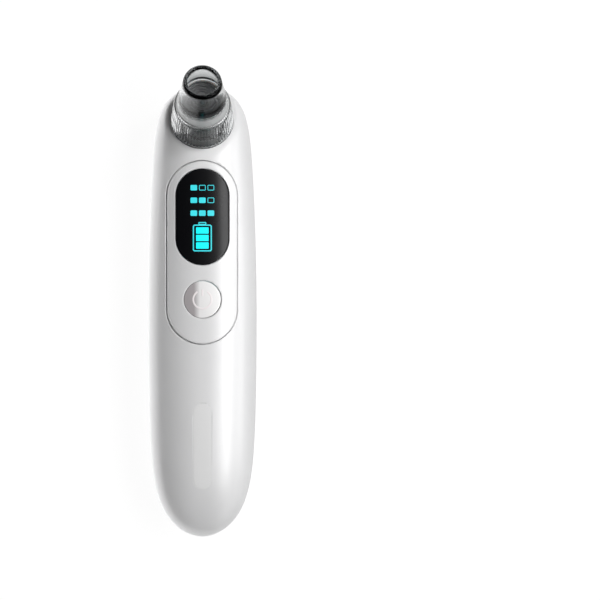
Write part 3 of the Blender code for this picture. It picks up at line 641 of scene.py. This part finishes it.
def circuit_board(name):
    """Green solder resist with a lighter grid of tracks under it."""
    material, tree, shader = shader_of(name, Coat_Weight=0.3)
    tracks = tree.nodes.new("ShaderNodeTexBrick")
    tracks.inputs["Scale"].default_value = 260.0
    tracks.inputs["Color1"].default_value = (0.012, 0.13, 0.055, 1)
    tracks.inputs["Color2"].default_value = (0.015, 0.16, 0.07, 1)
    tracks.inputs["Mortar"].default_value = (0.05, 0.30, 0.14, 1)
    tracks.inputs["Mortar Size"].default_value = 0.03
    tree.links.new(coordinates(tree), tracks.inputs["Vector"])
    tree.links.new(tracks.outputs["Color"], shader.inputs["Base Color"])
    tree.links.new(range_of(tree, tracks.outputs["Fac"], 0.4, 0.28), shader.inputs["Roughness"])
    return material


SATIN_COAT = dict(Coat_Weight=1.0, Coat_Roughness=0.42, Specular_IOR_Level=1.0)

# name, colour, roughness, spread of the roughness, scale of the grain, its bump, drift of the tone
shell_white = moulded("shell_white", (0.79, 0.79, 0.795), 0.35, 0.03, 1600.0, 0.02, 0.012, **SATIN_COAT)
panel_white = moulded("panel_white", (0.8, 0.8, 0.805), 0.34, 0.03, 1600.0, 0.02, 0.012, **SATIN_COAT)
badge_grey = moulded("badge_grey", (0.8, 0.8, 0.8), 0.6, 0.05, 1400.0, 0.05, 0.01, Specular_IOR_Level=0.3)
mark_pale = moulded("mark_pale", (0.95, 0.895, 0.905), 0.3, 0.04, 1400.0, 0.03, 0.02)
socket_grey = moulded("socket_grey", (0.16, 0.165, 0.165), 0.35, 0.05, 1100.0, 0.08, 0.05)
filter_grey = moulded("filter_grey", (0.19, 0.191, 0.195), 0.42, 0.06, 1000.0, 0.1, 0.08)
white_silicone = moulded(
    "white_silicone", (0.93, 0.93, 0.92), 0.5, 0.06, 900.0, 0.08, 0.03, Subsurface_Weight=0.2)
black_rubber = moulded("black_rubber", (0.02, 0.02, 0.021), 0.7, 0.08, 800.0, 0.2, 0.15)
white_plastic = moulded("white_plastic", (0.78, 0.78, 0.76), 0.45, 0.05, 1000.0, 0.1, 0.03)
black_plastic = moulded("black_plastic", (0.03, 0.03, 0.032), 0.45, 0.06, 1000.0, 0.12, 0.1)
battery_wrap = moulded("battery_wrap", (0.04, 0.2, 0.42), 0.3, 0.05, 1200.0, 0.05, 0.06, Coat_Weight=0.4)
red_wire = moulded("red_wire", (0.5, 0.02, 0.015), 0.42, 0.05, 1100.0, 0.06, 0.08)
black_wire = moulded("black_wire", (0.02, 0.02, 0.02), 0.42, 0.05, 1100.0, 0.06, 0.1)
steel = metal("steel", (0.62, 0.62, 0.63), 0.32)
brass = metal("brass", (0.72, 0.52, 0.22), 0.4)
contact_gold = metal("contact_gold", (0.85, 0.62, 0.25), 0.25)
display_black = smoked_lens("display_black")
display_light = glowing("display_light", (0.0, 0.93, 1.0), 1.1)
outline_light = glowing("outline_light", (0.05, 0.55, 0.62), 1.1)
button_pearl = pearl_plastic("button_pearl")
clear_head = clear_plastic("clear_head")
sponge = foam("sponge")
board_green = circuit_board("board_green")

# The finish of each material slot in the record.
FINISHES = dict(
    shell_white=shell_white, panel_white=panel_white, display_black=display_black, badge_grey=badge_grey,
    button_pearl=button_pearl, clear_head=clear_head, socket_grey=socket_grey, filter_grey=filter_grey,
    sponge=sponge, white_silicone=white_silicone, black_rubber=black_rubber, white_plastic=white_plastic,
    black_plastic=black_plastic, steel=steel, brass=brass, board_green=board_green,
    display_light=display_light, battery_wrap=battery_wrap, red_wire=red_wire, black_wire=black_wire)


def repaint_nodes():
    """Gives each node of the frame its finish, by the record's material slot."""
    for part in frame["record"]["subparts"]:
        node = frame["nodes"][part["node"]]
        for slot in node.material_slots:
            slot.material = FINISHES[part["material_slot"]]


def settle(obj, body, slot, finish=None, node=None):
    """Puts a finished piece on its body and slot, in place of a node where it stands for one."""
    obj.data.materials.clear()
    obj.data.materials.append(finish or FINISHES[slot])
    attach(obj, body)
    if node:
        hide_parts(node)


# ---------------------------------------------------------------- casing

def grown_slot(width, length, gap, shift=0.0):
    """The outline of a slot that leaves a gap all round a plate of a width and a length."""
    return slot_outline(width + 2 * gap, length + 2 * gap, shift)


def make_front_shell():
    """The front shell, with recesses for the panel and the badge and holes for what passes through it."""
    shell = half_shell("front_shell_skin", 1)
    over = 2 * MM
    panel_recess = follow_loft(
        "panel_recess", grown_slot(PANEL_WIDTH, PANEL_LENGTH, PANEL_GROOVE, PANEL_GROOVE_SHIFT), PANEL_V,
        lip(over, 1.3 * MM, 0.1 * MM), PANEL_WIDTH / 2)
    badge_recess = follow_loft(
        "badge_recess", grown_slot(BADGE_WIDTH, BADGE_LENGTH, BADGE_GROOVE), BADGE_V,
        lip(over, 0.75 * MM, 0.01 * MM), BADGE_WIDTH / 2)
    hole_profile = [(0, -8), (8.9, -8), (8.9, -0.4), (9.0, -0.15), (9.3, 0), (9.5, 0.2), (9.5, 6), (0, 6)]
    socket_hole = turned("socket_hole", hole_profile, HEAD_MATRIX, 96)
    carve(shell, merged("front_recesses", [panel_recess, badge_recess, socket_hole]))
    window_edge, hole_top = -1 * MM, 0.6 * MM
    window = follow_loft(
        "shell_window", grown_slot(LENS_WIDTH, LENS_LENGTH, window_edge), LENS_V,
        [(0, 4 * MM), (0, hole_top)], LENS_WIDTH / 2 + window_edge, 4)
    diameter = 2 * BUTTON_RADIUS
    button_hole = follow_loft(
        "shell_button_hole", grown_slot(diameter, diameter, 0.35 * MM), BUTTON_V,
        [(0, 5 * MM), (0, hole_top)], BUTTON_RADIUS, 4)
    carve(shell, merged("front_holes", [window, button_hole]))
    settle(shell, "housing", "shell_white", node="front_shell")


def well_places():
    """x and v of the four screw wells."""
    return [(side * x, v) for x, v in WELL_PAIRS for side in (-1, 1)]


def back_level(x, v):
    """Height of the back's outer surface over x and v."""
    width, _, back = body_sizes(v)
    share = min(1.0, abs(x) / width)
    return max(0.0, SEAM_Z - back * (1 - share**BACK_ROUNDNESS) ** (1 / BACK_ROUNDNESS))


def make_rear_shell():
    """The rear shell, with its screw wells, the cut for the charging inlet and the vent slots."""
    shell = half_shell("rear_shell_skin", -1)
    cutters = []
    for index, (x, v) in enumerate(well_places()):
        place = Matrix.Translation((x, place_y(v), 0))
        cutters.append(turned(f"well_cut_{index}", [(0, -3), (2.2, -3), (2.2, 9), (0, 9)], place, 48))
    low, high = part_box("usb_port")
    clearance = 0.7 * MM
    width, height = high.x - low.x + clearance, high.z - low.z + clearance
    middle = (low.z + high.z) / 2
    rings = []
    for y, grow in ((-84, 1.2), (-81.6, 1.2), (-80.6, 0.25), (-79.9, 0.0), (-74, 0.0)):
        outline = stadium(height + 2 * grow * MM, width + 2 * grow * MM, 20)
        rings.append([(along, y * MM, middle + up) for up, along in outline])
    cutters.append(loft("port_cut", rings))
    for index in range(3):
        v = VENT_V + VENT_PITCH * index
        outline = [(x, y) for y, x in stadium(VENT_WIDTH, VENT_LENGTH, 12)]
        rings = [[(x, place_y(v) + y, z * MM) for x, y in outline] for z in (-4, 9)]
        cutters.append(loft(f"vent_cut_{index}", rings))
    carve(shell, merged("rear_cuts", cutters))
    settle(shell, "housing", "shell_white", node="rear_shell")
    for index, (x, v) in enumerate(well_places()):
        place = Matrix.Translation((x, place_y(v), 0))
        profile = [(2.22, 3.4), (3.1, 3.4), (3.1, 14.7), (1.2, 14.7), (1.2, 8.0), (2.22, 8.0)]
        well = turned(f"screw_well_{index + 1}", eased(profile, 0.15, 2), place, 48)
        # A well ends inside the wall, so that its tube doesn't stand out of the rounded back.
        for vertex in well.data.vertices:
            point = vertex.co
            lowest = back_level(point.x, point.y - place_y(0)) + 0.5 * MM
            point.z = max(point.z, lowest)
        settle(well, "housing", "shell_white")


def make_control_panel():
    """The raised panel with its window and button hole, the lens in the window, and the badge below."""
    panel = follow_loft(
        "control_panel_skin", slot_outline(PANEL_WIDTH, PANEL_LENGTH), PANEL_V,
        plate(1.0 * MM, 0.55 * MM, -PANEL_RAISE), PANEL_WIDTH / 2, 22)
    over, depth = 2 * MM, 3 * MM
    window = follow_loft(
        "panel_window", grown_slot(LENS_WIDTH, LENS_LENGTH, LENS_GROOVE), LENS_V,
        lip(over, depth, 0.16 * MM, -PANEL_RAISE), LENS_WIDTH / 2)
    diameter = 2 * BUTTON_RADIUS
    hole = follow_loft(
        "panel_button_hole", grown_slot(diameter, diameter, BUTTON_GROOVE, BUTTON_GROOVE_SHIFT), BUTTON_V,
        lip(over, depth, 0.3 * MM, -PANEL_RAISE), BUTTON_RADIUS)
    carve(panel, merged("panel_cuts", [window, hole]))
    settle(panel, "housing", "panel_white", node="control_panel")
    lens = follow_loft(
        "display_lens_skin", slot_outline(LENS_WIDTH, LENS_LENGTH), LENS_V, plate(1.0 * MM, 0.18 * MM),
        LENS_WIDTH / 2, 20)
    settle(lens, "housing", "display_black", node="display_lens")
    badge = follow_loft(
        "badge_skin", slot_outline(BADGE_WIDTH, BADGE_LENGTH), BADGE_V, plate(0.6 * MM, 0.02 * MM),
        BADGE_WIDTH / 2, 10)
    settle(badge, "housing", "badge_grey", node="badge_inlay")


# ---------------------------------------------------------------- display marks

# The lit marks reach from a little below the lens's surface to a little above it.
LIT_BOTTOM, LIT_TOP = 0.04 * MM, -0.03 * MM


def lit_block(name, x, v, width, height, corner, finish):
    """A filled lit segment that follows the lens."""
    def outline(grow):
        box = round_box(width + 2 * grow, height + 2 * grow, max(corner + grow, 0.02 * MM), 4, 4)
        return [(x + a, b) for a, b in box]

    levels = [(0, LIT_BOTTOM), (0, LIT_TOP)]
    block = follow_loft(name, outline, v, levels, min(width, height) / 2, fill=3, sharp=60, fold=None)
    settle(block, "housing", "display_light", finish)


def lit_frame(name, x, v, width, height, corner, line, finish):
    """A lit outline that follows the lens."""
    rings = []
    for grow, level in ((0, LIT_BOTTOM), (0, LIT_TOP), (-line, LIT_TOP), (-line, LIT_BOTTOM)):
        outline = round_box(width + 2 * grow, height + 2 * grow, max(corner + grow, 0.05 * MM), 6, 10)
        rings.append([front_point(x + a, v + b, level) for a, b in outline])
    settle(loft(name, rings, closed_loop=True, sharp=60), "housing", "display_light", finish)


def make_display_marks():
    """Three level marks of one, two and three filled blocks, and a full battery symbol."""
    wide, tall, corner, line, pitch = 2.3 * MM, 1.9 * MM, 0.35 * MM, 0.22 * MM, 2.95 * MM
    for level, v in enumerate((121.5 * MM, 117.15 * MM, 112.7 * MM)):
        for place in range(3):
            x = (place - 1) * pitch
            name = f"level_mark_{level + 1}_{place + 1}"
            if place <= level:
                lit_block(name, x, v, wide, tall, corner, outline_light)
            else:
                lit_frame(name, x, v, wide, tall, corner, line, outline_light)
    middle = 104.1 * MM
    cap = middle + 5.05 * MM
    lit_frame("battery_mark_case", 0, middle, 6.6 * MM, 9.3 * MM, 0.75 * MM, 0.42 * MM, outline_light)
    lit_frame("battery_mark_cap", 0, cap, 2.7 * MM, 0.95 * MM, 0.3 * MM, 0.3 * MM, outline_light)
    for index in range(3):
        v = middle + (index - 1) * 2.6 * MM
        lit_block(f"battery_mark_level_{index + 1}", 0, v, 4.3 * MM, 2.15 * MM, 0.12 * MM, display_light)


# ---------------------------------------------------------------- power button

def make_button():
    """The domed button with its stem and flange, and a power symbol that is inlaid in the dome."""
    place = Matrix.Translation((0, place_y(BUTTON_V), 0))
    top, edge, dome_radius, dome_steps = 29.8, 29.42, 6.2, 24
    stem = [(0, 25.15), (1.5, 25.15), (1.5, 27.8), (5.2, 27.8), (5.2, 25.4)]
    flange = [(7.6, 25.4), (7.6, 26.1), (6.4, 26.1)]
    rim = [(6.4, edge - 0.25), (6.37, edge - 0.12), (6.29, edge - 0.03)]

    def dome(radius):
        return edge + (top - edge) * (1 - (radius / dome_radius) ** 2)

    radii = [dome_radius * (1 - step / dome_steps) for step in range(dome_steps)]
    crown = [(radius, dome(radius)) for radius in radii] + [(0, top)]
    button = turned("power_button_skin", stem + flange + rim + crown, place, 144)
    settle(button, "button", "button_pearl", node="power_button")

    def mark(name, path):
        """A thin strip in the dome, along a path of (x, y, normal x, normal y)."""
        width, thickness = 0.6 * MM, 0.09 * MM
        rings = []
        for x, y, nx, ny in path:
            ring = []
            for step in range(8):
                turn = 2 * math.pi * step / 8
                along = width / 2 * math.cos(turn)
                px, py = x + nx * along, y + ny * along
                level = dome(math.hypot(px, py) / MM) * MM
                ring.append((px, place_y(BUTTON_V) + py, level + thickness / 2 * math.sin(turn)))
            rings.append(ring)
        settle(loft(name, rings, sharp=60), "button", "button_pearl", mark_pale)

    arc, arc_radius, arc_steps = [], 3.15 * MM, 64
    for step in range(arc_steps + 1):
        turn = math.radians(90 + 32 + 296 * step / arc_steps)
        across, along = math.cos(turn), math.sin(turn)
        arc.append((arc_radius * across, arc_radius * along, across, along))
    mark("power_mark_ring", arc)
    mark("power_mark_bar", [(0, (1.2 + 2.3 * step / 8) * MM, 1, 0) for step in range(9)])


# ---------------------------------------------------------------- suction head and socket

def rib_shape(radius, height, turn):
    """Half-round upright ribs that fade in above the rim and out below the shoulder, on the outside only."""
    bottom, top, bore, fade_over = 0.75, 12.75, 9.6, 0.35
    if not bottom < height < top or radius < bore:
        return radius
    fade = min(1.0, (height - bottom) / fade_over, (top - height) / fade_over)
    wave = abs(math.sin(SKIRT_RIBS * turn / 2))
    return radius - 0.06 + fade * 0.18 * wave


def make_suction_head():
    """The clear head: ribbed skirt, shoulder, cone and mouth outside, one smooth bore inside."""
    skirt = [(10.8, 0.35), (10.95, 0.5), (10.95, 0.72)]
    skirt += [(10.88 - 1.1 * step / 18, 0.78 + 11.9 * step / 18) for step in range(19)]
    shoulder = [(9.72, 12.85), (9.6, 13.08), (9.38, 13.26), (9.16, 13.38), (9.02, 13.52), (8.95, 13.7)]
    cone = [(8.91 - 2.28 * step / 10, 13.9 + 15.1 * step / 10) for step in range(11)]
    mouth = [
        (6.53, 29.2), (6.42, 29.4), (6.25, 29.53), (6.05, 29.59), (5.55, 29.59), (5.35, 29.54),
        (5.22, 29.38)]
    inside = [
        (5.2, 29.1), (6.15, 23.7), (7.15, 18.0), (7.47, 15.7), (7.73, 13.75), (7.84, 13.2), (8.2, 12.87),
        (8.65, 12.7), (8.88, 12.35), (9.0, 11.4), (9.47, 5.6), (9.9, 0.5), (10.0, 0.35)]
    profile = skirt + shoulder + cone + mouth + inside
    head = turned("suction_head_skin", profile, HEAD_MATRIX, SKIRT_RIBS * 8, rib_shape, 50)
    settle(head, "head", "clear_head", node="suction_head")


def make_socket():
    """The socket with its spigot, the O-ring in its groove, and the soft ring that turns with the head."""
    profile = [
        (0.9, -8.2), (1.3, -8.2), (1.3, -4.9), (3.0, -4.2), (10.3, -4.2), (10.3, -3.0), (8.6, -3.0),
        (8.6, 3.9), (8.0, 3.9), (8.0, 5.3), (8.6, 5.3), (8.6, 10.0), (8.2, 10.4), (6.45, 10.4),
        (6.45, 16.8), (5.7, 16.8), (5.7, 13.0), (0.9, 13.0)]
    socket = turned("nozzle_base_skin", eased(profile, 0.25, 3), HEAD_MATRIX)
    settle(socket, "housing", "socket_grey", node="nozzle_base")
    ring, ring_radius, ring_height, cord_radius = [], 8.72, 4.6, 0.56
    for step in range(20):
        turn = 2 * math.pi * step / 20
        ring.append((ring_radius + cord_radius * math.cos(turn), ring_height + cord_radius * math.sin(turn)))
    settle(turned("head_o_ring_skin", ring, HEAD_MATRIX), "housing", "black_rubber", node="head_o_ring")
    seal_profile = [(6.6, 16.0), (7.1, 16.0), (7.05, 17.4), (6.9, 17.8), (6.6, 17.8)]
    seal = turned("seal_ring_skin", eased(seal_profile, 0.2, 4), HEAD_MATRIX)
    settle(seal, "collar", "white_silicone", node="seal_ring")


def make_filter_cap():
    """A cap with an air hole in its middle, a skirt below and grooves that leave raised rings on its top."""
    top, groove = 17.98, 17.7
    profile = [
        (1.0, 17.05), (4.7, 17.05), (4.7, 15.95), (5.5, 15.95), (5.5, 17.05), (6.4, 17.05), (6.4, groove),
        (6.1, top)]
    for outer in (5.4, 4.4, 3.4, 2.4):
        profile += [(outer, top), (outer - 0.12, groove), (outer - 0.5, groove), (outer - 0.62, top)]
    profile.append((1.0, top))
    cap = turned("filter_cap_skin", eased(profile, 0.09, 2), HEAD_MATRIX, 96)
    settle(cap, "filter", "filter_grey", node="filter_cap")


# ---------------------------------------------------------------- fasteners and charging port

def cross_arm(name, matrix):
    """A cutter for one arm of a cross recess, narrower towards its bottom."""
    half_length, half_width = 1.1 * MM, 0.2 * MM
    rings = []
    for z, share in ((5.9, 1.15), (7.35, 0.45)):
        along = half_length * share
        corners = [(-along, -half_width), (along, -half_width), (along, half_width), (-along, half_width)]
        rings.append([matrix @ Vector((a, b, z * MM)) for a, b in corners])
    return loft(name, rings)


def make_screws():
    """Four screws with ridged shanks and cross recesses, each driven home to another angle."""
    profile = [(0, 6.45), (1.1, 6.5), (1.6, 6.68), (1.86, 7.0), (1.9, 7.3), (1.9, 7.8), (1.0, 7.8)]
    for turn in range(13):
        profile += [(1.0, 8.0 + 0.9 * turn), (1.05, 8.45 + 0.9 * turn), (0.86, 8.55 + 0.9 * turn)]
    profile += [(0.8, 20.1), (0, 20.6)]
    for index, (x, v) in enumerate(well_places()):
        place = Matrix.Translation((x, place_y(v), 0))
        screw = turned(f"case_screw_{index + 1}_skin", profile, place, 48)
        for arm in range(2):
            spin = Matrix.Rotation(math.pi / 2 * arm + 0.5 * index, 4, "Z")
            carve(screw, cross_arm(f"cross_{index}_{arm}", place @ spin))
        settle(screw, "housing", "steel", node=f"case_screw_{index + 1}")


def make_port():
    """The receptacle's shell with rounded lips, and rows of contacts on both faces of its tongue."""
    low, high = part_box("usb_port")
    middle = (low.z + high.z) / 2
    width, height = high.x - low.x, high.z - low.z

    def ring(grow, y):
        return [(along, y, middle + up) for up, along in stadium(height + 2 * grow, width + 2 * grow, 20)]

    wall, round_by = 0.3 * MM, 0.1 * MM
    rings = [
        ring(0, high.y), ring(0, low.y + round_by), ring(-0.4 * round_by, low.y + 0.3 * round_by),
        ring(-round_by, low.y), ring(-wall + 0.3 * round_by, low.y), ring(-wall, low.y + round_by),
        ring(-wall, high.y - 1 * MM)]
    settle(loft("usb_port_skin", rings), "housing", "steel", node="usb_port")
    low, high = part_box("usb_tongue")
    pitch, half, thickness = 0.5 * MM, 0.13 * MM, 0.06 * MM
    front, rear = low.y + 0.5 * MM, high.y - 0.4 * MM
    for row_name, z in (("usb_contacts_under", low.z - 0.03 * MM), ("usb_contacts_top", high.z + 0.03 * MM)):
        contacts = []
        for index in range(12):
            x = (index - 5.5) * pitch
            outline = [(x - half, front), (x + half, front), (x + half, rear), (x - half, rear)]
            rings = [[(a, b, level) for a, b in outline] for level in (z - thickness, z)]
            contacts.append(loft(f"contact_{index}", rings))
        settle(merged(row_name, contacts), "housing", "brass", contact_gold)


# ---------------------------------------------------------------- stage, lights and camera

def make_stage():
    """A pale floor, just below what stands on it."""
    size, z = 4.0, -0.6 * MM
    corners = [(-size, -size, z), (size, -size, z), (size, size, z), (-size, size, z)]
    floor = mesh_piece("floor", corners, [(0, 1, 2, 3)])
    material, tree, shader = shader_of("floor_pale", Roughness=0.9)
    tint = noise_of(tree, coordinates(tree), 3.0, 2.0)
    pale = ramp_of(tree, tint, [(0.3, (0.93, 0.93, 0.93)), (0.7, (0.945, 0.945, 0.945))])
    # The floor looks evenly pale, but what it throws onto the object fades from the left to the right, as it
    # does beside a lamp that stands low on the left.
    thrown = range_of(tree, x_of(tree, coordinates(tree)), 2.1, 0.03, (-0.06, 0.06))
    path = tree.nodes.new("ShaderNodeLightPath")
    seen = tree.nodes.new("ShaderNodeMath")
    seen.operation = "MAXIMUM"
    tree.links.new(path.outputs["Is Camera Ray"], seen.inputs[0])
    tree.links.new(path.outputs["Is Transmission Ray"], seen.inputs[1])
    strength = tree.nodes.new("ShaderNodeMix")
    tree.links.new(seen.outputs["Value"], strength.inputs["Factor"])
    tree.links.new(thrown, strength.inputs["A"])
    strength.inputs["B"].default_value = 1.0
    tree.links.new(strength.outputs["Result"], shader.inputs["Emission Strength"])
    tree.links.new(pale, shader.inputs["Emission Color"])
    dark = ramp_of(tree, tint, [(0.3, (0.095, 0.095, 0.095)), (0.7, (0.1, 0.1, 0.1))])
    tree.links.new(dark, shader.inputs["Base Color"])
    floor.data.materials.append(material)


def make_world():
    """An even dim surround for the light, and a pale one for the view."""
    world = bpy.data.worlds.new("studio")
    world.use_nodes = True
    tree = world.node_tree
    tree.nodes.clear()
    output = tree.nodes.new("ShaderNodeOutputWorld")
    mix = tree.nodes.new("ShaderNodeMixShader")
    path = tree.nodes.new("ShaderNodeLightPath")
    tree.links.new(path.outputs["Is Camera Ray"], mix.inputs["Fac"])
    surround, backdrop = 0.012, 0.96
    for socket, strength in ((1, surround), (2, backdrop)):
        background = tree.nodes.new("ShaderNodeBackground")
        background.inputs["Strength"].default_value = strength
        background.inputs["Color"].default_value = (1, 1, 1, 1)
        tree.links.new(background.outputs["Background"], mix.inputs[socket])
    tree.links.new(mix.outputs["Shader"], output.inputs["Surface"])
    bpy.context.scene.world = world


def area_light(name, place, size, energy, glossy=True):
    """A soft lamp that faces the middle of the body. glossy says whether reflections show it."""
    light = bpy.data.lights.new(name, "AREA")
    light.shape = "RECTANGLE"
    light.size, light.size_y = size
    light.energy = energy
    obj = bpy.data.objects.new(name, light)
    obj.location = place
    obj.rotation_euler = (Vector((0, 0, SEAM_Z)) - Vector(place)).to_track_quat("-Z", "Y").to_euler()
    obj.visible_glossy = glossy
    bpy.context.scene.collection.objects.link(obj)


def make_lights():
    """A large key on the right with a bright strip in it, and lamps near the head, the side and the tail."""
    area_light("key", (0.5, 0.1, 0.87), (0.9, 0.95), 1.6)
    area_light("high_key", (0.45, 0.45, 0.6), (0.2, 0.2), 2.2, glossy=False)
    area_light("key_strip", (0.5, 0.0, 0.87), (0.94, 0.32), 5.7)
    area_light("side", (0.9, 0.05, 0.42), (0.7, 0.35), 2.0)
    area_light("tail_fill", (0.6, -0.8, 0.4), (0.5, 0.5), 0.5)


def make_camera():
    """A long lens straight above the body, aimed beside it, with the head towards the top of the view."""
    camera = bpy.data.cameras.new("camera")
    camera.sensor_width = 36.0
    camera.lens = 255.0
    obj = bpy.data.objects.new("camera", camera)
    height, middle_v, aside, aim_z = 1.5, 82.65 * MM, 34.1 * MM, 16 * MM
    stand = Vector((0, place_y(middle_v), height))
    aim = Vector((aside, stand.y, aim_z))
    back = (stand - aim).normalized()
    right = Vector((0, 1, 0)).cross(back).normalized()
    turn = Matrix((right, back.cross(right), back)).transposed()
    obj.matrix_world = Matrix.Translation(stand) @ turn.to_4x4()
    bpy.context.scene.collection.objects.link(obj)
    bpy.context.scene.camera = obj


repaint_nodes()
make_front_shell()
make_rear_shell()
make_control_panel()
make_display_marks()
make_button()
make_suction_head()
make_socket()
make_filter_cap()
make_screws()
make_port()
make_stage()
make_world()
make_lights()
make_camera()
bpy.context.scene.view_settings.view_transform = "Standard"
